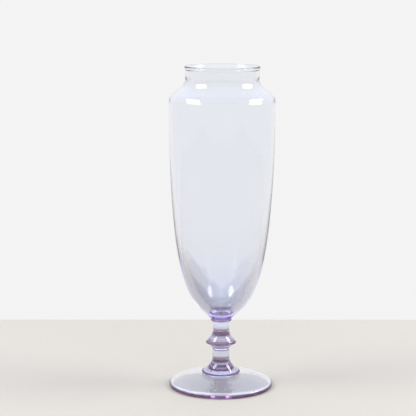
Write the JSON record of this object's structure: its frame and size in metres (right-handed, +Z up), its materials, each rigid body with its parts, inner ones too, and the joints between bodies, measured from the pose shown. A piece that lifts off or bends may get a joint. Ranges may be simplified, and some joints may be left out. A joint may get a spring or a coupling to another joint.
{
  "type": "footed glass vase",
  "caption": "Tall blown glass vase with a short flared neck, a rounded shoulder, a long tapering bowl, a knopped stem and a wide conical foot.",
  "frame": {"origin": "middle of the foot's underside, on the surface that the vase stands on", "axes": "+Z up along the vase's axis, from the foot to the lip; the vase is round, so X and Y are alike"},
  "size_m": [0.1076, 0.1076, 0.33],
  "materials": {
    "lilac_glass": "clear, fire polished, pale blue where thin and mauve where thick"
  },
  "bodies": {
    "root": {"foot": "lilac_glass", "lower_collar": "lilac_glass", "lower_stem": "lilac_glass", "knop": "lilac_glass", "upper_stem": "lilac_glass", "upper_collar": "lilac_glass", "bowl": "lilac_glass"}
  },
  "joints": []
}
